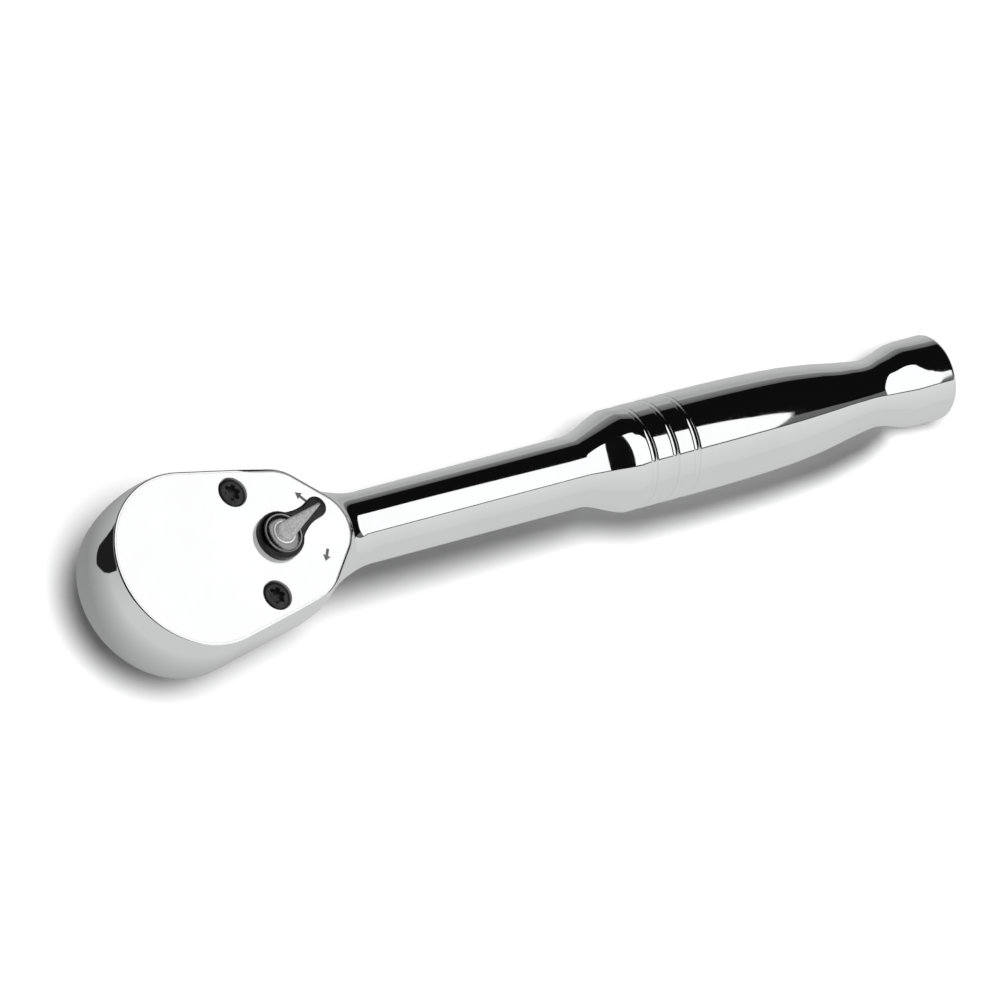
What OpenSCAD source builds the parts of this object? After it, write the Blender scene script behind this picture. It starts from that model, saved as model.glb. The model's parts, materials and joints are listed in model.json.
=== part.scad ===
// Ratchet wrench with a teardrop head, a thumb lever and a square drive.
// X runs from the drive axis along the handle, Z points up out of the cover plate.
// The origin is the centre of the drive tang's end face.

/* [Head] */
// Radius of the head's big round end, at its rims
head_r = 16.35; // [14.8:0.05:19]
// Thickness of the head
head_t = 15.8; // [14.9:0.1:19]
// How far the side wall bulges past the rims at mid height
head_bulge = 0.95; // [0.3:0.05:2]
// Angle between each tapering side and the handle
taper_angle = 10.9; // [8:0.1:13]
// Radius of the head's rounded tip at the handle
tip_r = 7.4; // [6:0.1:9]
// Distance from the drive axis to the centre of the tip's round
tip_x = 25.4; // [24.5:0.1:30]
// Radius between a tapering side and the tip's slant
corner_r = 4; // [2:0.5:5]
// Rounding of the edge round the cover plate
rim_round = 0.25; // [0.2:0.05:0.3]
// Rounding of the lower edge of the head
base_round = 2.5; // [0.3:0.1:3]

/* [Cover] */
// Width of the rim that shows round the cover plate
rim_w = 0.6; // [0.55:0.05:1]
// Thickness of the cover plate
plate_t = 2.4; // [2:0.1:3]
// Gap between the cover plate and the rim
plate_gap = 0.05; // [0.03:0.01:0.1]
// Thickness of the gasket under the cover plate
gasket_t = 0.3; // [0.2:0.05:0.5]
// Distance of the cover screws from the drive axis along the handle
screw_x = 12.2; // [11.5:0.1:13]
// Distance of each cover screw from the handle's centre line
screw_y = 10; // [9.5:0.1:10.3]
// Radius of a cover screw's head
screw_head_r = 2.6; // [2.2:0.1:2.8]
// Height of a cover screw's head
screw_head_h = 1.6; // [1:0.1:1.7]
// Radius of a cover screw's shank
screw_r = 1.5; // [1:0.1:1.7]
// Length of a cover screw below its head
screw_l = 7; // [4:0.5:9]
// How far the screw heads sit below the cover plate's face
screw_sink = 0.3; // [0.1:0.1:0.5]

/* [Drive gear] */
// Side of the square drive (3/8 inch)
drive_sq = 9.525; // [8:0.005:9.6]
// Length of the square drive
drive_l = 11; // [9:0.5:14]
// How far the gear's journal stands out below the head
boss_h = 1.2; // [0.5:0.1:2]
// Radius of the gear's lower journal
journal_r = 9; // [8:0.1:9.4]
// Number of gear teeth
gear_teeth = 72; // [36:12:72]
// Radius over the tips of the gear teeth
gear_r = 10.8; // [10.5:0.1:10.9]
// Height of a gear tooth
tooth_h = 0.45; // [0.3:0.05:0.5]
// Thickness of the head's floor under the gear
floor_t = 4.2; // [3.5:0.1:5]
// Thickness of the thrust washer on the gear
washer_t = 0.6; // [0.4:0.1:1]
// Radial clearance of the shafts in their bores
run_gap = 0.05; // [0.02:0.01:0.08]
// End clearance between stacked pieces
end_gap = 0.05; // [0.03:0.01:0.1]

/* [Socket ball] */
// Radius of the ball that holds a socket
ball_r = 1.6; // [1.4:0.1:1.8]
// Height of the ball above the end of the drive
ball_z = 4.5; // [3.5:0.1:6]
// How far the ball stands out of the drive
ball_out = 0.58; // [0.4:0.02:0.6]

/* [Pawl] */
// Distance from the drive axis to the pawl's pivot
pawl_x = 12.75; // [12.6:0.05:12.9]
// Radius of the pawl's pivot pin
pawl_pin_r = 0.9; // [0.6:0.05:0.95]
// Angle that the pawl rocks each way from its middle
pawl_rock = 3.5; // [3.2:0.1:4]
// Angle about the gear axis at which the pawl's toothed ends finish
pawl_end = 33; // [30:1:34]

/* [Lever] */
// Distance from the drive axis to the lever's axis
lever_x = 17.3; // [17.2:0.05:18]
// Angle that the lever swings each way from the handle's centre line
lever_swing = 20; // [15:1:24]
// Radius of the lever's round base
lever_base_r = 4.5; // [4:0.1:5]
// Radius of the flat on top of the lever's base
lever_top_r = 3.7; // [3:0.1:3.9]
// Height of the lever's base above the cover plate
lever_base_h = 2.3; // [1.5:0.1:2.6]
// Distance from the lever's axis to the middle of its round end
lever_l = 10.1; // [8:0.1:11]
// Radius of the lever's round end
lever_end_r = 1.95; // [1.5:0.05:2.2]
// Height of the lever's round end above the cover plate
lever_end_h = 0.9; // [0.6:0.1:1.5]
// Half width of the thumb tab at its root
tab_w = 1.6; // [1.2:0.1:1.8]
// Height of the thumb tab's top above the cover plate
tab_h = 3.1; // [2.7:0.1:4]
// Radius of the lever's shaft in the cover plate
neck_r = 2.55; // [2.5:0.05:2.8]
// Radius of the lever's shaft below the cover plate
drum_r = 2.4; // [2.2:0.05:2.4]
// Radius of the pin at the shaft's lower end
pilot_r = 1.5; // [1.2:0.1:1.8]
// Radius of the spring plunger
plunger_r = 1; // [0.8:0.05:1.1]
// Distance from the lever's axis to the plunger's tip
plunger_reach = 2.95; // [2.8:0.05:3]

/* [Handle] */
// Radius of the shank
shank_r = 6.5; // [5.5:0.1:7.4]
// Distance from the drive axis to the end of the shank
shank_end = 86; // [70:0.5:90]
// Radius of the collar and of the grip's thick end
grip_r = 9.37; // [8:0.01:11.5]
// Distance from the drive axis to the start of the collar
collar_x = 95.2; // [91:0.1:96]
// Distance from the drive axis to the first groove
groove_x = 98.2; // [97.5:0.1:99]
// Distance between grooves
groove_pitch = 4.85; // [3:0.05:5]
// Number of grooves round the collar
groove_count = 3; // [1:1:3]
// Half width of a groove
groove_r = 0.6; // [0.3:0.05:0.8]
// Distance from the drive axis to where the grip starts to thin
grip_x = 110; // [109:0.5:115]
// Radius of the waist between the grip and the pommel
waist_r = 6.25; // [5.2:0.05:7]
// Radius of the pommel
pommel_r = 7.9; // [7.3:0.1:9.5]
// Distance from the drive axis to the handle's end
handle_end = 169.6; // [142:0.1:203]
// Length of the pommel
pommel_l = 9.8; // [8:0.1:12]
// Rounding of the pommel's end
pommel_round = 0.9; // [0.3:0.1:2]

/* [Hidden] */

$fn = 64;
eps = 0.01;

// Heights, from the end of the drive upwards
base_z = drive_l + boss_h;
face_z = base_z + head_t;
axis_z = base_z + head_t / 2;
floor_z = base_z + floor_t;
ledge_z = face_z - plate_t - gasket_t;
plate_z = face_z - plate_t;

// Outline of the head: a big round, two tapering sides, two slants and a round tip
slant_angle = 45;
side_angle = 90 - taper_angle;
slant_d = tip_x * cos(slant_angle) + tip_r;
corner_det = sin(slant_angle - side_angle);
corner_x = ((head_r - corner_r) * sin(slant_angle) - (slant_d - corner_r) * sin(side_angle)) / corner_det;
corner_y = ((slant_d - corner_r) * cos(side_angle) - (head_r - corner_r) * cos(slant_angle)) / corner_det;
corner = [corner_x, corner_y];
tip = [tip_x, 0];

// Side wall: an arc that bulges between the rims, with both edges rounded
bulge_r = (pow(head_t / 2, 2) + pow(head_bulge, 2)) / (2 * head_bulge);
bulge_c = [head_bulge - bulge_r, head_t / 2];

// Gear, shaft and pawl
gear_z = floor_z + 2 * end_gap;
gear_top = plate_z - washer_t - 2 * end_gap;
root_r = gear_r - tooth_h;
tooth_step = 360 / gear_teeth;
bore_r = gear_r + run_gap;
pawl_z = floor_z + 2 * end_gap;
pawl_top = ledge_z - end_gap;
pawl_mid = (pawl_z + pawl_top) / 2;
pocket_y = 7.3;
pawl_clear = 0.35;

// Seals
seal_r = 0.45;
lever_seal_r = 0.4;

// Retaining ring and washer under the cover plate
clip_t = 0.4;
lever_washer_t = 0.3;
lever_washer_r = drum_r + 1;
lever_washer_z = plate_z - end_gap - lever_washer_t;
clip_z = lever_washer_z - end_gap - clip_t;
clip_groove_r = drum_r - 0.5;

// Plunger and springs
plunger_l = 2.2;
plunger_bore = 4;
wire_r = 0.2;

function polar(r, a) = r * [cos(a), sin(a)];
function arc(c, r, a0, a1, n) = [for (i = [0:n]) c + polar(r, a0 + (a1 - a0) * i / n)];
function mirrored(points) = [for (i = [len(points) - 2:-1:1]) [points[i].x, -points[i].y]];

// Upper half of the head's outline, from the far side of the big round to the tip
function half_outline(d) = concat(
    arc([0, 0], head_r - d, 180, side_angle, 24),
    arc(corner, corner_r - d, side_angle, slant_angle, 4),
    arc(tip, tip_r - d, slant_angle, 0, 8)
);
function outline(d) = concat(half_outline(d), mirrored(half_outline(d)));

function edge_c(r) = bulge_c.x + sqrt(pow(bulge_r - r, 2) - pow(head_t / 2 - r, 2));
function edge_a(r) = asin((head_t / 2 - r) / (bulge_r - r));

// Side wall's profile: distance outside the rim, height above the head's underside
wall = concat(
    arc([edge_c(base_round), base_round], base_round, -90, -edge_a(base_round), 6),
    arc(bulge_c, bulge_r, -edge_a(base_round) * 0.8, edge_a(rim_round) * 0.8, 6),
    arc([edge_c(rim_round), head_t - rim_round], rim_round, edge_a(rim_round), 90, 2)
);

// Head: rings of the outline, one for each point of the wall's profile
module head() {
    rings = [for (p = wall) [for (q = outline(-p.x)) [q.x, q.y, base_z + p.y]]];
    n = len(rings[0]);
    last = len(wall) - 1;
    skin = [
        for (i = [0:last - 1])
            for (j = [0:n - 1])
                let (a = i * n + j, b = i * n + (j + 1) % n)
                    [a, b, b + n, a + n]
    ];
    bottom = [for (j = [n - 1:-1:0]) j];
    top = [for (j = [0:n - 1]) last * n + j];
    polyhedron(points = [for (r = rings) each r], faces = concat(skin, [bottom, top]));
}

// Profile of the handle: distance along the handle, radius
neck_in = tip_x + 1.37;
neck_x = tip_x + tip_r;
neck_l = 6;
neck_flare = min(1.2, head_t / 2 - shank_r - 0.1);
waist_x = handle_end - pommel_l - 5.6;
pommel_x = waist_x + 10.2;
pommel_c = [handle_end - pommel_round, pommel_r - pommel_round];

function groove_at(i) = groove_x + i * groove_pitch;
function neck_curve(t) = shank_r + neck_flare * pow(1 - t, 2);
function flare_curve(t) = shank_r + (grip_r - shank_r) * (1 - cos(144 * t)) / (1 - cos(144));
function grip_curve(t) = grip_r - (grip_r - waist_r) * pow(t, 3.1) * (2.15 - 1.15 * t);
function pommel_curve(t) = waist_r + (pommel_r - waist_r) * t * t * (3 - 2 * t);

handle_profile = concat(
    [[neck_in, 0], [neck_in, neck_curve(0)], [neck_x, neck_curve(0)]],
    [for (i = [1:6]) [neck_x + neck_l * i / 6, neck_curve(i / 6)]],
    [for (i = [0:8]) [shank_end + (collar_x - shank_end) * i / 8, flare_curve(i / 8)]],
    [for (i = [0:14]) [grip_x + (waist_x - grip_x) * i / 14, grip_curve(i / 14)]],
    [for (i = [1:7]) [waist_x + (pommel_x - waist_x) * i / 7, pommel_curve(i / 7)]],
    arc(pommel_c, pommel_round, 90, 0, 5),
    [[handle_end, 0]]
);

module handle() {
    difference() {
        translate([0, 0, axis_z])
            rotate([90, 0, 90])
                rotate_extrude()
                    polygon([for (p = handle_profile) [p.y, p.x]]);
        for (i = [0:groove_count - 1])
            translate([groove_at(i), 0, axis_z])
                rotate([0, 90, 0])
                    rotate_extrude()
                        translate([grip_r, 0])
                            circle(groove_r);
    }
}

// Room under the cover plate for the gear, the pawl and the shaft
module cavity() {
    translate([0, 0, ledge_z])
        linear_extrude(plate_t + gasket_t + 1)
            polygon(outline(rim_w));
    translate([0, 0, floor_z])
        cylinder(r = bore_r, h = ledge_z - floor_z + eps);
    translate([0, 0, base_z - 1])
        cylinder(r = journal_r + run_gap, h = floor_t + 2);
    translate([5, -pocket_y, floor_z])
        cube([lever_x - 5 - drum_r * 0.6, 2 * pocket_y, ledge_z - floor_z + eps]);
    translate([lever_x, 0, floor_z])
        cylinder(r = drum_r + 0.6, h = ledge_z - floor_z + eps);
    translate([lever_x, 0, lever_washer_z - 0.3])
        cylinder(r = lever_washer_r + 0.1, h = 2);
    translate([lever_x, 0, floor_z - 2])
        cylinder(r = pilot_r + run_gap, h = 3);
    translate([pawl_x, 0, floor_z - 2])
        cylinder(r = pawl_pin_r, h = 3);
    for (side = [-1, 1])
        translate([screw_x, side * screw_y, ledge_z - screw_l])
            cylinder(r = screw_r, h = screw_l + 1);
}

module body() {
    color([0.8, 0.81, 0.83])
        difference() {
            union() {
                head();
                handle();
            }
            cavity();
        }
}

module cover_plate() {
    color([0.9, 0.9, 0.91])
        difference() {
            translate([0, 0, plate_z])
                linear_extrude(plate_t)
                    polygon(outline(rim_w + plate_gap));
            translate([lever_x, 0, plate_z - 1])
                cylinder(r = neck_r + run_gap, h = plate_t + 2);
            translate([pawl_x, 0, plate_z - 1])
                cylinder(r = pawl_pin_r, h = 2);
            for (side = [-1, 1])
                translate([screw_x, side * screw_y, plate_z - 1]) {
                    cylinder(r = screw_r + 0.1, h = plate_t + 2);
                    translate([0, 0, 1 + plate_t - screw_sink - screw_head_h])
                        cylinder(r = screw_head_r + 0.1, h = screw_head_h + 1);
                }
        }
}

module cover_gasket() {
    color([0.15, 0.15, 0.15])
        translate([0, 0, ledge_z])
            linear_extrude(gasket_t)
                difference() {
                    polygon(outline(rim_w + plate_gap));
                    circle(r = bore_r);
                    translate([5, -pocket_y])
                        square([lever_x - 5, 2 * pocket_y]);
                    translate([lever_x, 0])
                        circle(r = lever_base_r);
                    for (side = [-1, 1])
                        translate([screw_x, side * screw_y])
                            circle(r = screw_r + 0.1);
                }
}

// Screw with a round head and a six-lobe socket
module cover_screw(side) {
    head_z = face_z - screw_sink - screw_head_h;
    color([0.1, 0.1, 0.11])
        translate([screw_x, side * screw_y, 0])
            difference() {
                union() {
                    translate([0, 0, head_z])
                        cylinder(r = screw_head_r, h = screw_head_h - 0.3);
                    translate([0, 0, head_z + screw_head_h - 0.3])
                        cylinder(r1 = screw_head_r, r2 = screw_head_r - 0.3, h = 0.3);
                    translate([0, 0, ledge_z + 0.5 - screw_l])
                        cylinder(r = screw_r, h = head_z - ledge_z - 0.5 + screw_l + eps);
                }
                translate([0, 0, head_z + screw_head_h - 1.1])
                    cylinder(r = 1, h = 2);
                for (i = [0:5])
                    rotate([0, 0, 60 * i])
                        translate([1, 0, head_z + screw_head_h - 1.1])
                            cylinder(r = 0.32, h = 2);
            }
}

// Toothed outline of the gear, with a tooth space on each multiple of the tooth step
module gear_outline(gap) {
    polygon([
        for (i = [0:gear_teeth - 1])
            for (p = [[root_r + gap, 0.08], [gear_r + gap, 0.42], [gear_r + gap, 0.58], [root_r + gap, 0.92]])
                polar(p[0], (i + p[1]) * tooth_step)
    ]);
}

module drive_gear() {
    groove_z = base_z + floor_t / 2 - seal_r;
    color([0.55, 0.56, 0.58])
        difference() {
            union() {
                translate([0, 0, gear_z])
                    linear_extrude(gear_top - gear_z)
                        gear_outline(0);
                translate([0, 0, drive_l])
                    cylinder(r = journal_r, h = gear_z - drive_l + eps);
                intersection() {
                    translate([-drive_sq / 2, -drive_sq / 2, 0])
                        cube([drive_sq, drive_sq, drive_l + eps]);
                    cylinder(r = drive_sq * 0.667, h = drive_l + 1);
                    cylinder(r1 = drive_sq * 0.5, r2 = drive_sq * 0.5 + drive_l * 2, h = drive_l + 1);
                }
            }
            translate([0, 0, groove_z])
                rotate_extrude()
                    translate([journal_r - 2 * seal_r, 0])
                        square([2 * seal_r + 1, 2 * seal_r]);
            ball_hole();
        }
}

// Blind hole for the socket ball, a little narrower at its mouth to keep the ball in
module ball_hole() {
    mouth = 0.36;
    translate([-drive_sq / 2 + mouth, 0, ball_z])
        rotate([0, 90, 0])
            cylinder(r = ball_r + run_gap, h = drive_sq - mouth - 1.8);
    translate([-drive_sq / 2 - 1, 0, ball_z])
        rotate([0, 90, 0])
            cylinder(r = ball_r - 0.1, h = 1 + mouth + eps);
}

module gear_seal() {
    color([0.1, 0.1, 0.1])
        translate([0, 0, base_z + floor_t / 2])
            rotate_extrude()
                translate([journal_r - seal_r, 0])
                    circle(r = seal_r);
}

module gear_thrust_washer() {
    color([0.6, 0.6, 0.62])
        translate([0, 0, gear_top + end_gap])
            difference() {
                cylinder(r = journal_r + 0.5, h = washer_t);
                translate([0, 0, -1])
                    cylinder(r = journal_r - 3, h = washer_t + 2);
            }
}

module retention_ball() {
    color([0.7, 0.7, 0.72])
        translate([ball_r - ball_out - drive_sq / 2, 0, ball_z])
            sphere(r = ball_r);
}

// Wire coiled along +Z, from height 0 to height length
module coil(r, length, turns) {
    steps = 14;
    sides = 8;
    count = turns * steps;
    pitch = (length - 2 * wire_r) / turns;
    points = [
        for (i = [0:count])
            for (j = [0:sides - 1])
                let (a = 360 * i / steps, b = 360 * j / sides, w = r + wire_r * cos(b))
                    [w * cos(a), w * sin(a), wire_r + pitch * i / steps + wire_r * sin(b)]
    ];
    skin = [
        for (i = [0:count - 1])
            for (j = [0:sides - 1])
                let (a = i * sides + j, b = i * sides + (j + 1) % sides)
                    each [[a, b, b + sides], [a, b + sides, a + sides]]
    ];
    first = [for (j = [sides - 1:-1:0]) j];
    last = [for (j = [0:sides - 1]) count * sides + j];
    polyhedron(points = points, faces = concat(skin, [first, last]));
}

module retention_spring() {
    back = drive_sq / 2 - 1.8;
    front = ball_r - ball_out - drive_sq / 2 + sqrt(pow(ball_r, 2) - 1);
    color([0.5, 0.5, 0.52])
        translate([back - eps, 0, ball_z])
            rotate([0, -90, 0])
                coil(1, back - front - 0.1, 5);
}

// Pawl in its middle position, with both toothed ends lifted equally
module pawl_blank() {
    linear_extrude(pawl_top - pawl_z)
        difference() {
            intersection() {
                translate([gear_r - 4, -pocket_y + 0.3])
                    square([lever_x - plunger_reach - gear_r + 5, 2 * pocket_y - 0.6]);
                circle(r = lever_x - drum_r - 0.4);
                polygon([[0, 0], polar(30, -pawl_end), polar(30, pawl_end)]);
            }
            translate([lever_x, 0])
                circle(r = plunger_reach + 0.12);
        }
}

module pawl() {
    color([0.5, 0.5, 0.52])
        translate([0, 0, pawl_z])
            difference() {
                rock_pawl(-pawl_rock)
                    pawl_blank();
                translate([0, 0, -1])
                    linear_extrude(pawl_top - pawl_z + 2)
                        gear_outline(0.04);
                rock_pawl(-2 * pawl_rock)
                    translate([0, 0, -1])
                        linear_extrude(pawl_top - pawl_z + 2)
                            mirror([0, 1, 0])
                                gear_outline(0.04);
                sector_relief();
                translate([pawl_x, 0, -1])
                    cylinder(r = pawl_pin_r + run_gap, h = pawl_top - pawl_z + 2);
            }
}

// Turns a piece about the pawl's pivot
module rock_pawl(a) {
    translate([pawl_x, 0, 0])
        rotate([0, 0, a])
            translate([-pawl_x, 0, 0])
                children();
}

// Clears the middle of the pawl away from the gear, between the toothed ends
module sector_relief() {
    toothed = 12;
    translate([0, 0, -1])
        rotate([0, 0, -pawl_end + toothed])
            rotate_extrude(angle = 2 * (pawl_end - toothed))
                square([gear_r + pawl_clear, pawl_top - pawl_z + 2]);
}

module pawl_pin() {
    color([0.6, 0.6, 0.62])
        translate([pawl_x, 0, floor_z - 2])
            cylinder(r = pawl_pin_r, h = plate_z + 1 - floor_z + 2);
}

// Turns a piece from pointing along +X to the lever's direction at rest
module at_lever() {
    translate([lever_x, 0, 0])
        rotate([0, 0, lever_swing])
            children();
}

module pawl_plunger() {
    color([0.65, 0.65, 0.67])
        at_lever()
            translate([0, 0, pawl_mid])
                rotate([0, -90, 0]) {
                    translate([0, 0, plunger_reach - plunger_l])
                        cylinder(r = plunger_r, h = plunger_l - plunger_r * 0.5);
                    translate([0, 0, plunger_reach - plunger_r * 0.5])
                        cylinder(r1 = plunger_r, r2 = plunger_r * 0.5, h = plunger_r * 0.5);
                }
}

module plunger_spring() {
    back = plunger_bore - drum_r;
    front = plunger_reach - plunger_l;
    color([0.5, 0.5, 0.52])
        at_lever()
            translate([back, 0, pawl_mid])
                rotate([0, -90, 0])
                    translate([0, 0, eps])
                        coil(plunger_r - 0.4, back + front - 0.05, 4);
}

module selector_shaft() {
    square_w = 3;
    groove_h = 2 * lever_seal_r + 0.1;
    color([0.55, 0.56, 0.58])
        at_lever()
            difference() {
                union() {
                    translate([0, 0, floor_z - 2 + end_gap])
                        cylinder(r = pilot_r, h = 2 + eps);
                    translate([0, 0, floor_z + end_gap])
                        cylinder(r = drum_r, h = plate_z - floor_z);
                    translate([0, 0, plate_z + end_gap - eps])
                        cylinder(r = neck_r, h = plate_t);
                    translate([-square_w / 2, -square_w / 2, face_z])
                        cube([square_w, square_w, lever_base_h - 0.5]);
                }
                translate([0, 0, face_z - plate_t / 2 - groove_h / 2])
                    rotate_extrude()
                        translate([neck_r - 2 * lever_seal_r, 0])
                            square([2 * lever_seal_r + 1, groove_h]);
                translate([0, 0, clip_z - eps])
                    rotate_extrude()
                        translate([clip_groove_r, 0])
                            square([2, clip_t + 2 * eps]);
                translate([plunger_bore - drum_r, 0, pawl_mid])
                    rotate([0, -90, 0])
                        cylinder(r = plunger_r + run_gap, h = plunger_bore + 1);
            }
}

module lever_seal() {
    color([0.1, 0.1, 0.1])
        translate([lever_x, 0, face_z - plate_t / 2])
            rotate_extrude()
                translate([neck_r - lever_seal_r, 0])
                    circle(r = lever_seal_r);
}

module lever_washer() {
    color([0.65, 0.65, 0.67])
        translate([lever_x, 0, lever_washer_z])
            difference() {
                cylinder(r = lever_washer_r, h = lever_washer_t);
                translate([0, 0, -1])
                    cylinder(r = drum_r + run_gap, h = lever_washer_t + 2);
            }
}

module lever_retaining_ring() {
    color([0.3, 0.3, 0.32])
        at_lever()
            translate([0, 0, clip_z])
                rotate([0, 0, 30])
                    rotate_extrude(angle = 300)
                        translate([clip_groove_r + 0.02, 0])
                            square([drum_r + 0.4 - clip_groove_r, clip_t]);
}

// Keyhole outline of the lever: a round base, a waist and a small round end
module lever_outline() {
    waist_w = tab_w * 0.95;
    waist_at = lever_l * 0.72;
    circle(r = lever_base_r);
    translate([lever_l, 0])
        circle(r = lever_end_r);
    polygon([
        [0, lever_base_r * 0.97], [lever_base_r * 0.6, lever_base_r * 0.76], [waist_at, waist_w],
        [lever_l, lever_end_r * 0.98], [lever_l, -lever_end_r * 0.98], [waist_at, -waist_w],
        [lever_base_r * 0.6, -lever_base_r * 0.76], [0, -lever_base_r * 0.97]
    ]);
}

// Pointed thumb tab, seen from above
module tab_outline() {
    point_r = 0.45;
    circle(r = tab_w);
    polygon([
        [0, tab_w], [lever_l * 0.4, tab_w], [lever_l - 1, point_r],
        [lever_l - 1, -point_r], [lever_l * 0.4, -tab_w], [0, -tab_w]
    ]);
    translate([lever_l - 1, 0])
        circle(r = point_r);
}

module reverse_lever() {
    socket_w = 3.06;
    shoulder_h = 0.7;
    color([0.25, 0.25, 0.27])
        at_lever()
            translate([0, 0, face_z + end_gap])
                difference() {
                    union() {
                        linear_extrude(lever_end_h)
                            lever_outline();
                        cylinder(r = lever_base_r, h = lever_base_h - shoulder_h);
                        translate([0, 0, lever_base_h - shoulder_h - eps])
                            cylinder(r1 = lever_base_r, r2 = lever_top_r, h = shoulder_h + eps);
                        cylinder(r = tab_w + 0.35, h = lever_base_h + 0.4);
                        linear_extrude(tab_h - end_gap)
                            tab_outline();
                    }
                    translate([-socket_w / 2, -socket_w / 2, -1])
                        cube([socket_w, socket_w, lever_base_h + 0.55]);
                }
}

body();
cover_plate();
cover_gasket();
cover_screw(1);  // cover_screw_left
cover_screw(-1);  // cover_screw_right
drive_gear();
gear_seal();
gear_thrust_washer();
retention_ball();
retention_spring();
pawl();
pawl_pin();
pawl_plunger();
plunger_spring();
reverse_lever();
selector_shaft();
lever_seal();
lever_washer();
lever_retaining_ring();
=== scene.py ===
import json
import math

import bmesh
import bpy
import numpy as np
from mathutils import Matrix, Vector


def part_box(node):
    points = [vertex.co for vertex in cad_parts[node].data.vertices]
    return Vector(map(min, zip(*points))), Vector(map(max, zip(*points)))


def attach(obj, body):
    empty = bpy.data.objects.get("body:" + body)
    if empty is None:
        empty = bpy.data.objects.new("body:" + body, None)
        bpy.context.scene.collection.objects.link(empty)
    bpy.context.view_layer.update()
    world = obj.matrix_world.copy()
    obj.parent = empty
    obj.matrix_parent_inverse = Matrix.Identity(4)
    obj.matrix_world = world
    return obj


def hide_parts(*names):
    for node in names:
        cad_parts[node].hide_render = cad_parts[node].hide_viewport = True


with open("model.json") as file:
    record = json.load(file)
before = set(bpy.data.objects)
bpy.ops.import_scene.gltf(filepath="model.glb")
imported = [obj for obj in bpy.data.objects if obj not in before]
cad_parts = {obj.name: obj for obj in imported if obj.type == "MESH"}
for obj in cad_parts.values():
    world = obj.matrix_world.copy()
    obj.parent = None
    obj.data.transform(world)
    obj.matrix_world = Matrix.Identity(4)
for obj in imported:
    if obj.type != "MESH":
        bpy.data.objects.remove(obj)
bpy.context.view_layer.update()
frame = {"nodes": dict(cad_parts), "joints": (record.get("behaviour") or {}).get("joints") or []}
MM = 0.001
NODES = frame["nodes"]
JOINTS = {j["name"]: j for j in frame["joints"]}


def mm(v):
    return v * 1000.0


# Heights and places from the CAD frame, in millimetres
FACE_Z = mm(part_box("cover_plate")[1].z)
HALF_T = 7.9
AXIS_Z = FACE_Z - HALF_T
END_X = mm(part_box("body")[1].x)
LEVER_X = mm(JOINTS["lever_swing"]["pos_m"][0])
LEVER_A = 20.0
SCREW_X = mm(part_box("cover_screw_left")[0].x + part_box("cover_screw_left")[1].x) / 2
SCREW_Y = mm(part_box("cover_screw_left")[0].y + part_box("cover_screw_left")[1].y) / 2

# Head outline: centres shared by all offsets
BIG_R = 16.35
BULGE = 0.92
TAPER = math.radians(10.9)
CORNER_R = 8.5
TIP_X, TIP_R = 25.4, 7.4
RIM_ROUND = 0.3
BASE_ROUND = 2.5
# Outward directions of the straight side and of the slant toward the handle
SIDE = math.pi / 2 - TAPER
SLANT = math.pi / 4
TIP_REACH = TIP_X * math.cos(SLANT) + TIP_R
TURN = math.sin(SLANT - SIDE)
CORNER = (
    ((BIG_R - CORNER_R) * math.sin(SLANT) - (TIP_REACH - CORNER_R) * math.sin(SIDE)) / TURN,
    ((TIP_REACH - CORNER_R) * math.cos(SIDE) - (BIG_R - CORNER_R) * math.cos(SLANT)) / TURN,
)


def mirrored(pts):
    """Closed outline from its upper half."""
    return np.array(pts + [(x, -y) for x, y in reversed(pts[1:-1])])


def outline(o):
    """Head outline offset by o, from the far side of the big round to the tip and back."""
    pts = []

    def arc(c, r, a0, a1, k, last=False):
        for i in range(k + (1 if last else 0)):
            a = a0 + (a1 - a0) * i / k
            pts.append((c[0] + (r + o) * math.cos(a), c[1] + (r + o) * math.sin(a)))

    def line(c0, r0, c1, r1, a, k):
        for i in range(k):
            t = i / k
            x = c0[0] + (c1[0] - c0[0]) * t + (r0 + (r1 - r0) * t + o) * math.cos(a)
            y = c0[1] + (c1[1] - c0[1]) * t + (r0 + (r1 - r0) * t + o) * math.sin(a)
            pts.append((x, y))

    arc((0, 0), BIG_R, math.pi, SIDE, 120)
    line((0, 0), BIG_R, CORNER, CORNER_R, SIDE, 36)
    arc(CORNER, CORNER_R, SIDE, SLANT, 20)
    line(CORNER, CORNER_R, (TIP_X, 0), TIP_R, SLANT, 12)
    arc((TIP_X, 0), TIP_R, SLANT, 0, 36, True)
    return mirrored(pts)


def outline_offset(x, y):
    """Distance outside the head's outline."""
    y = np.abs(y)
    best = np.full(np.broadcast(x, y).shape, -1e9)
    for c, r, lo, hi in (
        ((0, 0), BIG_R, SIDE, math.pi),
        (CORNER, CORNER_R, SLANT, SIDE),
        ((TIP_X, 0), TIP_R, 0, SLANT),
    ):
        a = np.clip(np.arctan2(y - c[1], x - c[0]), lo, hi)
        best = np.maximum(best, (x - c[0]) * np.cos(a) + (y - c[1]) * np.sin(a) - r)
    return best


BULGE_R = (HALF_T**2 + BULGE**2) / (2 * BULGE)
BULGE_C = BULGE - BULGE_R


def bulge_at(z):
    return BULGE_C + np.sqrt(BULGE_R**2 - z**2)


def edge_round(r):
    """Centre offset and joining angle of an edge rounding of radius r."""
    c = BULGE_C + math.sqrt((BULGE_R - r) ** 2 - (HALF_T - r) ** 2)
    return c, math.asin((HALF_T - r) / (BULGE_R - r))


# Mesh helpers


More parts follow.
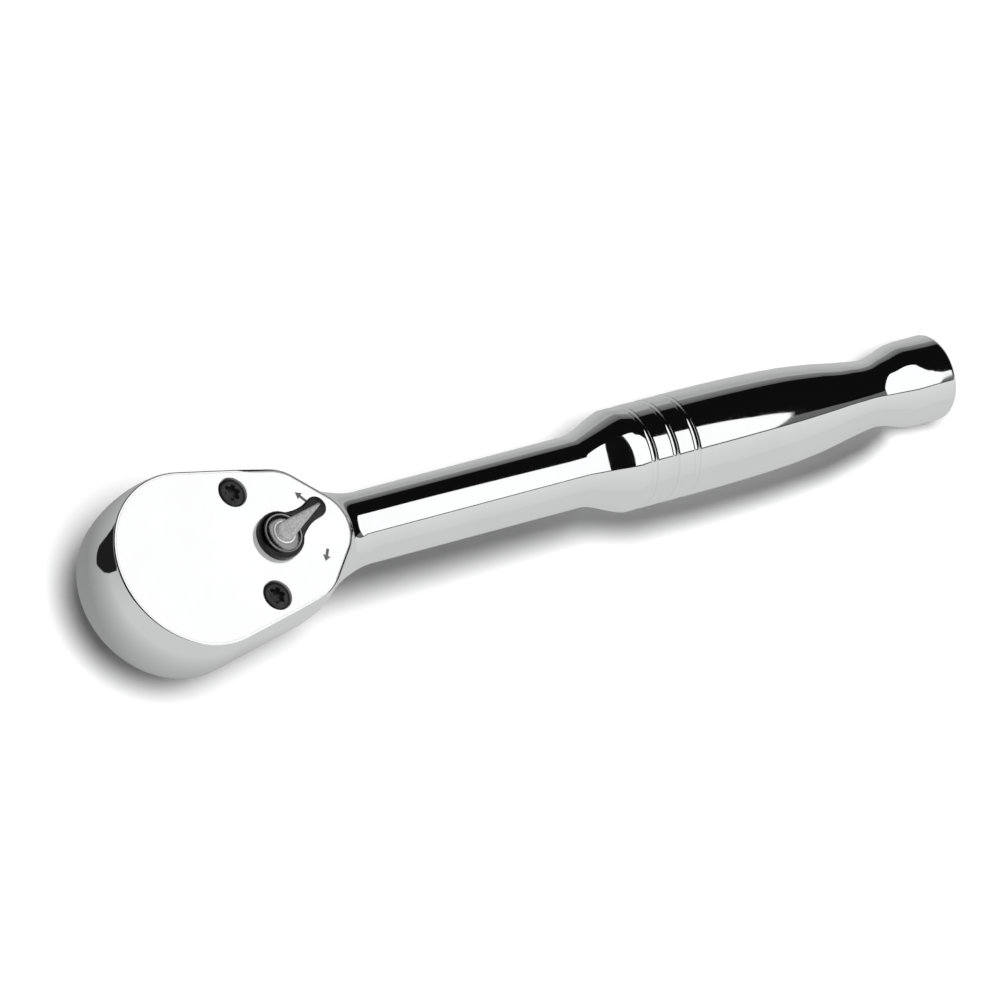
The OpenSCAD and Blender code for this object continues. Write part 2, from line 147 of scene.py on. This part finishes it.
def piece(name, verts, faces, mat, body, angle=30.0):
    me = bpy.data.meshes.new(name)
    v = np.asarray(verts, float) * MM
    me.from_pydata([tuple(p) for p in v], [], faces)
    me.validate()
    for p in me.polygons:
        p.use_smooth = True
    me.set_sharp_from_angle(angle=math.radians(angle))
    ob = bpy.data.objects.new(name, me)
    bpy.context.scene.collection.objects.link(ob)
    me.materials.append(mat)
    if body:
        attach(ob, body)
    return ob


class Build:
    """Collects rings of points into one mesh."""

    def __init__(self):
        self.v = []
        self.f = []

    def loft(self, rings, closed=True, cap=False, flip=False):
        base = len(self.v)
        n = len(rings[0])
        for r in rings:
            assert len(r) == n
            self.v.extend(tuple(p) for p in r)
        m = n if closed else n - 1
        for i in range(len(rings) - 1):
            for j in range(m):
                a = base + i * n + j
                b = base + i * n + (j + 1) % n
                q = (a, b, b + n, a + n)
                self.f.append(tuple(reversed(q)) if flip else q)
        if cap:
            k = base + (len(rings) - 1) * n
            q = tuple(k + j for j in range(n))
            self.f.append(tuple(reversed(q)) if flip else q)


def ring2(pts2, z):
    return np.column_stack([pts2, np.full(len(pts2), z)])


def circle2(r, n, cx=0.0, cy=0.0):
    a = np.arange(n) * 2 * math.pi / n
    return np.column_stack([cx + r * np.cos(a), cy + r * np.sin(a)])


# Materials


def nodes_of(name):
    mat = bpy.data.materials.new(name)
    mat.use_nodes = True
    nt = mat.node_tree
    nt.nodes.clear()
    out = nt.nodes.new("ShaderNodeOutputMaterial")
    bsdf = nt.nodes.new("ShaderNodeBsdfPrincipled")
    nt.links.new(bsdf.outputs[0], out.inputs[0])
    return mat, nt, bsdf


def noise(nt, coord, scale, detail=3.0, stretch=None):
    if stretch:
        m = nt.nodes.new("ShaderNodeMapping")
        m.inputs["Scale"].default_value = stretch
        nt.links.new(coord, m.inputs["Vector"])
        coord = m.outputs[0]
    n = nt.nodes.new("ShaderNodeTexNoise")
    n.inputs["Scale"].default_value = scale
    n.inputs["Detail"].default_value = detail
    nt.links.new(coord, n.inputs["Vector"])
    return n.outputs["Fac"]


def span(nt, value, lo, hi, a=0.3, b=0.7):
    m = nt.nodes.new("ShaderNodeMapRange")
    m.inputs["From Min"].default_value = a
    m.inputs["From Max"].default_value = b
    m.inputs["To Min"].default_value = lo
    m.inputs["To Max"].default_value = hi
    nt.links.new(value, m.inputs["Value"])
    return m.outputs["Result"]


def along(nt, coord, axis, start, end):
    """Rises from 0 to 1 between two places on an axis, in metres."""
    sep = nt.nodes.new("ShaderNodeSeparateXYZ")
    nt.links.new(coord, sep.inputs[0])
    return span(nt, sep.outputs[axis], 0, 1, start, end)


def tint(nt, value, c0, c1):
    m = nt.nodes.new("ShaderNodeMix")
    m.data_type = "RGBA"
    m.inputs[6].default_value = (*c0, 1)
    m.inputs[7].default_value = (*c1, 1)
    nt.links.new(value, m.inputs[0])
    return m.outputs[2]


def metal(name, c0, c1, metallic, rough, fine, coarse, bump, stretch=None):
    """Metal with cloudy colour between c0 and c1, roughness range rough, and a fine grain."""
    mat, nt, b = nodes_of(name)
    tc = nt.nodes.new("ShaderNodeTexCoord").outputs["Object"]
    cloud = noise(nt, tc, coarse, 4.0)
    grain = noise(nt, tc, fine, 2.0, stretch)
    nt.links.new(tint(nt, span(nt, cloud, 0, 1), c0, c1), b.inputs["Base Color"])
    nt.links.new(span(nt, grain, rough[0], rough[1]), b.inputs["Roughness"])
    b.inputs["Metallic"].default_value = metallic
    if bump:
        bn = nt.nodes.new("ShaderNodeBump")
        bn.inputs["Strength"].default_value = bump[0]
        bn.inputs["Distance"].default_value = bump[1]
        nt.links.new(grain, bn.inputs["Height"])
        nt.links.new(bn.outputs[0], b.inputs["Normal"])
    return mat


CHROME = metal(
    "chrome_polish", (0.94, 0.945, 0.95), (0.965, 0.97, 0.975), 1.0, (0.03, 0.06), 900, 60, (0.02, 0.00002)
)
SATIN = metal(
    "satin_face", (0.95, 0.95, 0.955), (0.98, 0.98, 0.985), 0.6, (0.08, 0.12), 5000, 90, (0.03, 0.00002)
)
BLACK = metal(
    "black_oxide", (0.03, 0.03, 0.031), (0.055, 0.055, 0.057), 0.8, (0.22, 0.34), 3000, 300, (0.2, 0.00003)
)
DARK = metal(
    "dark_chrome", (0.035, 0.035, 0.036), (0.055, 0.055, 0.056), 1.0, (0.2, 0.3), 2500, 200, (0.05, 0.00002)
)
DISC = metal(
    "lever_disc", (0.26, 0.26, 0.265), (0.36, 0.36, 0.365), 1.0, (0.16, 0.26), 2500, 200, (0.05, 0.00002)
)
TAB = metal("satin_tab", (0.5, 0.5, 0.5), (0.75, 0.75, 0.75), 0.7, (0.35, 0.6), 2600, 2200, (0.5, 0.00006))
STEEL = metal(
    "gear_steel", (0.45, 0.45, 0.46), (0.56, 0.56, 0.57), 1.0, (0.2, 0.34), 1500, 120, (0.1, 0.00003)
)
WIRE = metal("spring_wire", (0.3, 0.3, 0.31), (0.4, 0.4, 0.42), 1.0, (0.25, 0.4), 1500, 300, None)
RUBBER = metal(
    "seal_rubber", (0.02, 0.02, 0.02), (0.035, 0.035, 0.035), 0.0, (0.5, 0.7), 2500, 400, (0.2, 0.00003)
)
INK = metal("mark_fill", (0.1, 0.1, 0.105), (0.16, 0.16, 0.165), 0.2, (0.4, 0.6), 4000, 900, None)

CARRIED = {
    "drive_gear": STEEL,
    "gear_seal": RUBBER,
    "gear_thrust_washer": STEEL,
    "retention_ball": CHROME,
    "retention_spring": WIRE,
    "pawl": STEEL,
    "pawl_pin": STEEL,
    "pawl_plunger": STEEL,
    "plunger_spring": WIRE,
    "selector_shaft": STEEL,
    "lever_seal": RUBBER,
    "lever_washer": STEEL,
    "lever_retaining_ring": WIRE,
    "cover_gasket": RUBBER,
}
for node_name, mat in CARRIED.items():
    me = NODES[node_name].data
    me.materials.clear()
    me.materials.append(mat)

# Width and depth of the softened edge of the face, and the hole round the gear's journal
SOFT_W, SOFT_H = 0.85, 0.34
BORE_R, LIP_R = 9.1, 9.4

# Head: one wall from the bore, round the lower edge, up the bulge and over the rim


def soften(ring):
    """Lowers the face's edge toward the handle, where its rounding is broad and shallow."""
    ring = np.array(ring)
    x, y, z = ring[:, 0], ring[:, 1], ring[:, 2]
    o = np.clip(outline_offset(x, y), -SOFT_W, 0)
    w = np.clip((x - 14.0) / 9.0, 0, 1)
    w = w * w * (3 - 2 * w)
    near = np.clip((z - (FACE_Z - 3.5)) / 3.0, 0, 1)
    ring[:, 2] = z - SOFT_H * w * near * ((o + SOFT_W) / SOFT_W) ** 2
    return ring


def head_mesh(b):
    cb, ab = edge_round(BASE_ROUND)
    ct, at = edge_round(RIM_ROUND)
    prof = []
    for i in range(9):
        a = -math.pi / 2 + (math.pi / 2 - ab) * i / 8
        prof.append((cb + BASE_ROUND * math.cos(a), -HALF_T + BASE_ROUND + BASE_ROUND * math.sin(a)))
    for i in range(1, 28):
        a = -ab + (ab + at) * i / 28
        prof.append((BULGE_C + BULGE_R * math.cos(a), BULGE_R * math.sin(a)))
    for i in range(9):
        a = at + (math.pi / 2 - at) * i / 8
        prof.append((ct + RIM_ROUND * math.cos(a), HALF_T - RIM_ROUND + RIM_ROUND * math.sin(a)))
    seat = HALF_T - 1.5
    prof += [(-0.4, HALF_T), (-0.46, HALF_T), (-0.475, HALF_T - 0.015), (-0.475, seat), (-2.5, seat)]
    rings = [soften(ring2(outline(o), AXIS_Z + z)) for o, z in prof]
    inner = outline(-5.0)
    a = np.arctan2(inner[:, 1], inner[:, 0])
    bore = np.column_stack([BORE_R * np.cos(a), BORE_R * np.sin(a)])
    lip = np.column_stack([LIP_R * np.cos(a), LIP_R * np.sin(a)])
    z0 = AXIS_Z - HALF_T
    head = [ring2(bore, z0 + 3.0), ring2(bore, z0 + 0.3), ring2(lip, z0), ring2(outline(-2.0), z0)]
    b.loft(head + rings, flip=True)


# Handle: radius along the handle

SHANK_R, GRIP_R, WAIST_R, POMMEL_R = 6.5, 9.37, 6.25, 7.9
FLARE_0, COLLAR = 86.3, 96.1
GRIP_0, POMMEL_X = 110.0, 165.0
# Turned profile of grip, waist and pommel: distance along the handle, radius
STATIONS = [
    (104, GRIP_R), (GRIP_0, GRIP_R), (122, 9.25), (134, 8.77), (142, 7.97), (149, 6.88),
    (154.5, WAIST_R), (158, 6.72), (161.5, 7.66), (POMMEL_X, POMMEL_R), (168, POMMEL_R),
]
GROOVES, GROOVE_HALF, GROOVE_DEPTH = (98.6, 103.45, 108.3), 0.74, 0.66


def station(x):
    """Smooth curve through the stations."""
    i = max(k for k in range(1, len(STATIONS) - 2) if STATIONS[k][0] <= x or k == 1)
    (xa, a), (x0, p0), (x1, p1), (xb, c) = STATIONS[i - 1 : i + 3]
    m0 = (p1 - a) / (x1 - xa)
    m1 = (c - p0) / (xb - x0)
    if i == 1:
        m0 = 0.0
    h = x1 - x0
    t = (x - x0) / h
    return (
        (2 * t**3 - 3 * t**2 + 1) * p0
        + (t**3 - 2 * t**2 + t) * h * m0
        + (3 * t**2 - 2 * t**3) * p1
        + (t**3 - t**2) * h * m1
    )


def handle_r(x):
    if x <= FLARE_0:
        return SHANK_R
    if x <= COLLAR:
        t = (x - FLARE_0) / (COLLAR - FLARE_0)
        rise = (1 - math.cos(0.8 * math.pi * t)) / (1 - math.cos(0.8 * math.pi))
        return SHANK_R + (GRIP_R - SHANK_R) * rise
    if x <= GRIP_0:
        return GRIP_R
    return station(x)


def smooth_union(a, b, k):
    h = np.clip(k - np.abs(a - b), 0, None) / k
    return np.minimum(a, b) - h * h * k / 4


def neck_ring(x, phi):
    """Distance of the skin from the handle's axis where handle and head flow together."""
    c, s = np.cos(phi), np.sin(phi)

    def head_d(r):
        y, z = r * c, r * s
        zz = np.clip(z, -HALF_T, HALF_T)
        return np.maximum((outline_offset(x, y) - bulge_at(zz)) * 0.97, np.maximum(z + 0.7, -z) - HALF_T)

    def both(r):
        z = r * s
        k = np.clip(1.5 * (HALF_T + 0.25 - np.abs(z)), 0.3, 7.6)
        return smooth_union(head_d(r), r - handle_r(x), k)

    def solve(f):
        lo, hi = np.zeros_like(phi), np.full_like(phi, 24.0)
        for _ in range(40):
            mid = (lo + hi) / 2
            inside = f(mid) < 0
            lo, hi = np.where(inside, mid, lo), np.where(inside, hi, mid)
        return (lo + hi) / 2

    r = solve(both)
    r0 = solve(head_d)
    t = np.clip((r - r0) / 0.05, 0, 1)
    return r - 0.04 * (1 - t * t * (3 - 2 * t))


def handle_mesh(b):
    n = 192
    phi = np.arange(n) * 2 * math.pi / n
    c, s = np.cos(phi), np.sin(phi)
    rings = []

    def add(x, r):
        r = np.broadcast_to(r, phi.shape)
        rings.append(np.column_stack([np.full(n, x), r * c, AXIS_Z + r * s]))

    for x in np.arange(16.0, 48.01, 0.2):
        add(x, neck_ring(x, phi))
    for x in np.arange(50.0, 85.0, 2.5):
        add(x, SHANK_R)
    for x in np.linspace(FLARE_0, COLLAR, 30):
        add(x, handle_r(x))
    for g in GROOVES:
        add(g - GROOVE_HALF - 0.12, GRIP_R)
        for i in range(13):
            a = math.pi * i / 12
            add(g - GROOVE_HALF * math.cos(a), GRIP_R - 0.08 - GROOVE_DEPTH * math.sin(a) ** 0.8)
        add(g + GROOVE_HALF + 0.12, GRIP_R)
    for x in np.linspace(GRIP_0, POMMEL_X, 90):
        add(x, handle_r(x))
    for x in (166.5, 168.0, END_X - 0.95):
        add(x, POMMEL_R)
    end_round = 0.9
    for i in range(9):
        a = math.pi / 2 * i / 8
        add(END_X - end_round + end_round * math.sin(a), POMMEL_R - end_round + end_round * math.cos(a))
    for r in (6.0, 4.0, 2.0, 0.6):
        add(END_X, r)
    b.loft(rings, cap=True)


b = Build()
head_mesh(b)
handle_mesh(b)
body = piece("body_skin", b.v, b.f, CHROME, "housing", 28)
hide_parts("body")

# Cover plate with countersunk screw holes


def fill_faces(loops, z):
    """Flat face between an outer loop and its holes, all at height z."""
    bm = bmesh.new()
    for loop in loops:
        vs = [bm.verts.new((x, y, z)) for x, y in loop]
        for i in range(len(vs)):
            bm.edges.new((vs[i], vs[(i + 1) % len(vs)]))
    bmesh.ops.triangle_fill(bm, use_beauty=True, use_dissolve=False, edges=bm.edges[:])
    bm.verts.index_update()
    v = [tuple(p.co) for p in bm.verts]
    f = [tuple(q.index for q in p.verts) for p in bm.faces]
    up = sum(p.normal.z for p in bm.faces) >= 0
    bm.free()
    return v, [t if up else tuple(reversed(t)) for t in f]


def plate_mesh():
    b = Build()
    o1, o0 = -0.49, -SOFT_W
    prof = [(o0 + (o1 - 0.015 - o0) * i / 6, 0.0) for i in range(7)] + [(o1, -0.015), (o1, -1.9)]
    b.loft([soften(ring2(outline(o), FACE_Z + z)) for o, z in prof])
    loops = [outline(o0)]
    for sy in (1, -1):
        r, ch = 2.78, 0.07
        top = circle2(r + ch, 48, SCREW_X, sy * SCREW_Y)
        low = circle2(r, 48, SCREW_X, sy * SCREW_Y)
        b.loft([ring2(top, FACE_Z), ring2(low, FACE_Z - ch), ring2(low, FACE_Z - 1.4)], flip=True, cap=True)
        loops.append(top)
    v, f = fill_faces(loops, FACE_Z)
    k = len(b.v)
    b.v.extend(v)
    b.f.extend(tuple(i + k for i in t) for t in f)
    return b


b = plate_mesh()
plate = piece("plate_skin", b.v, b.f, SATIN, "housing", 30)
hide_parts("cover_plate")

# Cover screws with six-lobe sockets


def screw_mesh(cx, cy):
    n = 96
    a = np.arange(n) * 2 * math.pi / n
    lobe = 1.3 + 0.25 * np.cos(6 * a)
    top = FACE_Z - 0.12
    R = 2.68
    b = Build()

    def ring(r, z):
        return np.column_stack([cx + r * np.cos(a), cy + r * np.sin(a), np.full(n, z)])

    rings = [ring(R, top - 1.3), ring(R, top - 0.42)]
    for i in range(1, 9):
        t = math.pi / 2 * i / 8
        rings.append(ring(R - 0.75 + 0.75 * math.cos(t), top - 0.42 + 0.42 * math.sin(t)))
    rings.append(ring((R - 0.75) * 0.5 + (lobe + 0.12) * 0.5, top))
    rings += [ring(lobe + 0.12, top), ring(lobe, top - 0.14)]
    rings += [ring(lobe, top - 1.1), ring(lobe * 0.5, top - 1.2)]
    b.loft(rings, cap=True)
    return b


for side, nm in ((1, "left"), (-1, "right")):
    b = screw_mesh(SCREW_X, side * SCREW_Y)
    ob = piece("screw_skin_" + nm, b.v, b.f, BLACK, "housing", 35)
    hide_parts("cover_screw_" + nm)

# Lever


def turned(pts):
    """Turns points about the lever's axis to its rest angle."""
    a = math.radians(LEVER_A)
    p = np.asarray(pts, float)
    x = LEVER_X + p[:, 0] * math.cos(a) - p[:, 1] * math.sin(a)
    y = p[:, 0] * math.sin(a) + p[:, 1] * math.cos(a)
    return np.column_stack([x, y] + ([p[:, 2]] if p.shape[1] > 2 else []))


def keyhole(o, n_big=60, n_flank=24, n_end=30):
    """Lever base outline pointing along +X: big round, concave flanks, small round end."""
    R, L, r = 4.45, 10.1, 1.93
    flank_r = 9.0
    # centre of the concave flank, touching both rounds from outside
    A, B = R + flank_r, r + flank_r
    cx = (L * L + A * A - B * B) / (2 * L)
    cy = math.sqrt(A * A - cx * cx)
    a_big = math.atan2(cy, cx)
    a_end = math.atan2(cy, cx - L)
    pts = []
    for i in range(n_big):
        a = math.pi + (a_big - math.pi) * i / n_big
        pts.append(((R + o) * math.cos(a), (R + o) * math.sin(a)))
    f0 = a_big + math.pi
    f1 = a_end + math.pi
    for i in range(n_flank):
        a = f0 + (f1 - f0) * i / n_flank
        pts.append((cx + (flank_r - o) * math.cos(a), cy + (flank_r - o) * math.sin(a)))
    for i in range(n_end + 1):
        a = a_end * (1 - i / n_end)
        pts.append((L + (r + o) * math.cos(a), (r + o) * math.sin(a)))
    return mirrored(pts)


def lever_mesh():
    b = Build()
    z0 = FACE_Z + 0.06
    top, e = 0.85, 0.3
    rings = [ring2(keyhole(0.0), z0), ring2(keyhole(0.0), z0 + top - e)]
    for i in range(1, 7):
        t = math.pi / 2 * i / 6
        rings.append(ring2(keyhole(-e + e * math.cos(t)), z0 + top - e + e * math.sin(t)))
    b.loft([turned(r) for r in rings], cap=True, flip=True)
    prof = [(4.45, 0.5), (4.44, 1.0), (4.38, 1.35), (4.22, 1.65), (4.0, 1.85)]
    prof += [(3.8, 1.94), (3.6, 1.95), (3.4, 1.9)]
    return lathe(b, prof)


def lathe(b, prof, n=96):
    b.loft([turned(ring2(circle2(r, n), FACE_Z + z)) for r, z in prof], cap=True)
    return b


def disc_mesh():
    prof = [(3.66, 1.6), (3.66, 2.0), (3.6, 2.08), (3.5, 2.1), (3.42, 2.06), (3.36, 2.06)]
    prof += [(3.3, 2.12), (3.0, 2.22), (2.6, 2.3), (2.34, 2.32), (2.2, 2.3)]
    return lathe(Build(), prof)


def collar_mesh():
    prof = [(2.2, 2.0), (2.2, 2.36), (2.17, 2.46), (2.1, 2.53), (2.0, 2.56), (1.92, 2.53)]
    prof += [(1.86, 2.44), (1.8, 2.3), (1.6, 2.22), (0.5, 2.22)]
    return lathe(Build(), prof)


def tab_outline(o):
    """Thumb tab pointing along +X: round at the axis, tapering to a small round point."""
    R, L, r = 1.72, 9.3, 0.2
    a0 = math.acos((R - r) / L)
    pts = []
    for i in range(25):
        a = math.pi + (a0 - math.pi) * i / 24
        pts.append(((R + o) * math.cos(a), (R + o) * math.sin(a)))
    for i in range(1, 10):
        t = i / 10
        pts.append((L * t + (R + (r - R) * t + o) * math.cos(a0), (R + (r - R) * t + o) * math.sin(a0)))
    for i in range(13):
        a = a0 * (1 - i / 12)
        pts.append((L + (r + o) * math.cos(a), (r + o) * math.sin(a)))
    return mirrored(pts)


def tab_mesh():
    b = Build()
    top, e = FACE_Z + 3.08, 0.28
    rings = [ring2(tab_outline(0.25), FACE_Z + 0.7), ring2(tab_outline(0.03), top - e)]
    for i in range(1, 7):
        t = math.pi / 2 * i / 6
        rings.append(ring2(tab_outline(-e + e * math.cos(t)), top - e + e * math.sin(t)))
    b.loft([turned(r) for r in rings], cap=True, flip=True)
    return b


b = lever_mesh()
base = piece("lever_base_skin", b.v, b.f, DARK, "lever", 30)
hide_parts("reverse_lever")
for nm, b, mat, slot in (
    ("lever_disc_skin", disc_mesh(), DISC, "lever_steel"),
    ("lever_collar_skin", collar_mesh(), SATIN, "lever_steel"),
    ("lever_tab_skin", tab_mesh(), TAB, "lever_steel"),
):
    piece(nm, b.v, b.f, mat, "lever", 40)

# Generic direction marks on the plate: filled shapes that stand 0.012 mm above the face


def mark(name, polys):
    b = Build()
    for p in polys:
        p = np.asarray(p, float)
        area = sum(p[i][0] * p[(i + 1) % len(p)][1] - p[(i + 1) % len(p)][0] * p[i][1] for i in range(len(p)))
        if area < 0:
            p = p[::-1]
        b.loft([ring2(p, FACE_Z - 0.05), ring2(p, FACE_Z + 0.012)], cap=True)
    return piece(name, b.v, b.f, INK, "housing", 30)


def arrow(cx, cy, a, size):
    shape = [(-1.0, -0.22), (0.1, -0.22), (0.1, -0.62), (1.0, 0.0), (0.1, 0.62), (0.1, 0.22), (-1.0, 0.22)]
    ca, sa = math.cos(a), math.sin(a)
    return [(cx + size * (x * ca - y * sa), cy + size * (x * sa + y * ca)) for x, y in shape]


mark("mark_left", [arrow(25.0, 6.1, math.radians(125), 1.25)])
mark("mark_right", [arrow(25.2, -5.3, math.radians(-125), 1.25)])

# Floor: the tool rests on its drive's edge and its pommel

DRIVE_EDGE_X, POMMEL_REST_X = 4.5, 166.0
tilt = math.atan2(AXIS_Z - POMMEL_R, POMMEL_REST_X - DRIVE_EDGE_X)
SQUARE = [(-1, -1), (1, -1), (1, 1), (-1, 1)]
floor_me = bpy.data.meshes.new("floor")
FLOOR_S = 3.0
floor_me.from_pydata([(x * FLOOR_S, y * FLOOR_S, 0) for x, y in SQUARE], [], [(0, 1, 2, 3)])
floor = bpy.data.objects.new("floor", floor_me)
bpy.context.scene.collection.objects.link(floor)
floor.rotation_euler = (0, -tilt, 0)
floor.location = (DRIVE_EDGE_X * MM, 0, -0.0001)
# Places on the Y axis, in metres, between which the floor that the tool sees fades darker toward +Y, as
# painted shade
FLOOR_FADE = (-0.02, 0.07)
fmat, nt, fb = nodes_of("floor_white")
tc = nt.nodes.new("ShaderNodeTexCoord").outputs["Object"]
white = tint(nt, span(nt, noise(nt, tc, 40), 0, 1), (0.99, 0.99, 0.99), (1.0, 1.0, 1.0))
# Painted shade: to all but camera rays the floor is grey, lighter toward -Y and darker toward +Y
grey = tint(nt, along(nt, tc, 1, *FLOOR_FADE), (0.57, 0.57, 0.57), (0.38, 0.38, 0.38))
pick = nt.nodes.new("ShaderNodeMix")
pick.data_type = "RGBA"
floor_rays = nt.nodes.new("ShaderNodeLightPath")
nt.links.new(floor_rays.outputs["Is Camera Ray"], pick.inputs[0])
nt.links.new(grey, pick.inputs[6])
nt.links.new(white, pick.inputs[7])
nt.links.new(pick.outputs[2], fb.inputs["Base Color"])
fb.inputs["Roughness"].default_value = 1.0
fb.inputs["Specular IOR Level"].default_value = 0.0
# Seen from below, the floor is clear
under = nt.nodes.new("ShaderNodeMixShader")
clear = nt.nodes.new("ShaderNodeBsdfTransparent")
facing = nt.nodes.new("ShaderNodeNewGeometry")
nt.links.new(facing.outputs["Backfacing"], under.inputs[0])
nt.links.new(fb.outputs[0], under.inputs[1])
nt.links.new(clear.outputs[0], under.inputs[2])
out = next(n for n in nt.nodes if n.bl_idname == "ShaderNodeOutputMaterial")
nt.links.new(under.outputs[0], out.inputs[0])
floor_me.materials.append(fmat)

# Studio surroundings that only mirror-like surfaces see, in place of the white background:
# a softbox overhead and a grey sweep on each side


def emitter(name):
    """Material that only shines, with its node tree, emission node and object coordinates."""
    mat = bpy.data.materials.new(name)
    mat.use_nodes = True
    nt = mat.node_tree
    nt.nodes.clear()
    out = nt.nodes.new("ShaderNodeOutputMaterial")
    em = nt.nodes.new("ShaderNodeEmission")
    nt.links.new(em.outputs[0], out.inputs[0])
    return mat, nt, em, nt.nodes.new("ShaderNodeTexCoord").outputs["Object"]


def glow(name, low, high, axis=0, start=0, end=1):
    """Emission that runs from low to high between two places along an axis, in metres."""
    mat, nt, em, tc = emitter(name)
    nt.links.new(tint(nt, along(nt, tc, axis, start, end), (low,) * 3, (high,) * 3), em.inputs[0])
    return mat


def surround(name, b, mat):
    ob = piece(name, b.v, b.f, mat, None)
    ob.visible_camera = False
    ob.visible_diffuse = False
    ob.visible_shadow = False
    ob.visible_transmission = False
    return ob


def softbox(name, z, corners, level):
    b = Build()
    b.v = [(x, y, AXIS_Z + z) for x, y in corners]
    b.f = [tuple(range(len(corners)))]
    surround(name, b, glow(name + "_light", level, level))


def sweep(name, theta, y, low, high):
    """Long flat upright wall beside the tool between two heights seen from the handle, theta in degrees."""
    b = Build()
    side = 1 if y > 0 else -1
    zs = [AXIS_Z + abs(y) * math.tan(math.radians(t)) for t in theta]
    rings = [[(x, y, z) for z in np.linspace(zs[0], zs[1], 9)] for x in np.linspace(-2500, 2500, 11)]
    b.loft(rings, closed=False)
    surround(name, b, glow(name + "_light", low, high, 2, zs[0] * MM, zs[1] * MM))


softbox("softbox", 300, [(82, 192), (110, 188), (274, 127), (399, -70), (436, -228), (82, -228)], 1.03)
softbox("softbox_frame", 302, [(380, -120), (900, -190), (900, -232), (380, -232)], 0.13)
sweep("sweep_far", (-14, 19.5), 500, 0.34, 0.1)
sweep("sweep_near", (-14, 50.3), -500, 0.61, 0.71)

# Mirrors see this floor instead of the real one and its shadow, with a painted shadow that darkens it close
# to the head, and one dark card beside the head.
# The card's corners are rounded from a calculation of where its reflection has to fall.


def floor_seen():
    """Emission that fades across the tool as painted shade, darker toward +Y, and gets darker close to the
    head as a painted shadow of the head.
    """
    mat, nt, em, tc = emitter("floor_seen")
    side = tint(nt, along(nt, tc, 1, *FLOOR_FADE), (0.6,) * 3, (0.4,) * 3)
    far = nt.nodes.new("ShaderNodeVectorMath")
    far.operation = "DISTANCE"
    nt.links.new(tc, far.inputs[0])
    far.inputs[1].default_value = (-0.0125, 0.005, 0)
    nt.links.new(side, em.inputs[0])
    # Painted shadow: the emission is weaker within a few centimetres of the head's centre
    nt.links.new(span(nt, far.outputs["Value"], 0.54, 1.0, 0.02, 0.046), em.inputs[1])
    return mat


b = Build()
b.v = [(x * mm(FLOOR_S), y * mm(FLOOR_S), 0) for x, y in SQUARE]
b.f = [(0, 1, 2, 3)]
seen_floor = surround("floor_seen", b, floor_seen())
seen_floor.rotation_euler = floor.rotation_euler
seen_floor.location = (DRIVE_EDGE_X * MM, 0, 0.00005)

b = Build()
card = [(-22, 62), (-23.3, 47), (-24.8, 37), (-23.9, 29.5), (-25.7, 25.7), (-29.2, 21.4)]
card += [(-39, 18.4), (-45.4, 18.3), (-60, 22), (-80, 45), (-62, 80)]
b.v = [(x, y, 0.3) for x, y in card]
b.f = [tuple(range(len(b.v)))]
surround("dark_card", b, glow("dark_card_light", 0.012, 0.012))

# Flag, seen by no ray, that adds a shadow beside the handle which the tool itself doesn't cast

b = Build()
edge = [(30, 0), (30, -10.3), (88, -10.3), (98, -13), (112, -13.4), (128, -13.2)]
edge += [(142, -12.4), (152, -10.6), (158, -8.4), (163, -4), (164, 0)]
b.v = [(x, y, AXIS_Z) for x, y in edge]
b.f = [tuple(range(len(b.v)))]
flag = surround("flag", b, glow("flag_dark", 0.0, 0.0))
flag.visible_glossy = False
flag.visible_shadow = True

# World: white to the camera, almost black to mirrors, faint to everything else; and one lamp

world = bpy.data.worlds.new("studio")
bpy.context.scene.world = world
world.use_nodes = True
wn = world.node_tree
wn.nodes.clear()
wo = wn.nodes.new("ShaderNodeOutputWorld")
camera_or_not = wn.nodes.new("ShaderNodeMixShader")
seen = wn.nodes.new("ShaderNodeBackground")
light = wn.nodes.new("ShaderNodeBackground")
seen.inputs[0].default_value = (1, 1, 1, 1)
seen.inputs[1].default_value = 1.0
light.inputs[0].default_value = (1, 1, 1, 1)
light.inputs[1].default_value = 0.05
dark = wn.nodes.new("ShaderNodeBackground")
dark.inputs[0].default_value = (0.004, 0.004, 0.004, 1)
dark.inputs[1].default_value = 1.0
rays = wn.nodes.new("ShaderNodeLightPath")
mirror_or_not = wn.nodes.new("ShaderNodeMixShader")
wn.links.new(rays.outputs["Is Glossy Ray"], mirror_or_not.inputs[0])
wn.links.new(light.outputs[0], mirror_or_not.inputs[1])
wn.links.new(dark.outputs[0], mirror_or_not.inputs[2])
wn.links.new(rays.outputs["Is Camera Ray"], camera_or_not.inputs[0])
wn.links.new(mirror_or_not.outputs[0], camera_or_not.inputs[1])
wn.links.new(seen.outputs[0], camera_or_not.inputs[2])
wn.links.new(camera_or_not.outputs[0], wo.inputs[0])

lamp = bpy.data.lights.new("soft_key", "SUN")
lamp.angle = math.radians(25)
lamp.energy = 1.05 * math.pi
key = bpy.data.objects.new("soft_key", lamp)
key.location = (0.1, 0.5, 1.0)
key.rotation_euler = Vector((0.37, 0.16, -1.0)).to_track_quat("-Z", "Y").to_euler()
key.visible_glossy = False
bpy.context.scene.collection.objects.link(key)

# Camera: its place and axes come from a numerical fit

cam_data = bpy.data.cameras.new("camera")
cam_data.sensor_width = 36.0
cam_data.lens = 432.0
cam_data.clip_end = 20.0
cam = bpy.data.objects.new("camera", cam_data)
bpy.context.scene.collection.objects.link(cam)
right = Vector((0.79053643, -0.39535466, 0.4677038))
down = Vector((-0.21042313, -0.89255988, -0.39882197))
ahead = Vector((0.57512977, 0.2168676, -0.78879287))
m = Matrix((right, -down, -ahead)).transposed().to_4x4()
m.translation = Vector((-1.151547, -0.462176, 1.695302))
cam.matrix_world = m
bpy.context.scene.camera = cam

bpy.context.scene.view_settings.view_transform = "Standard"
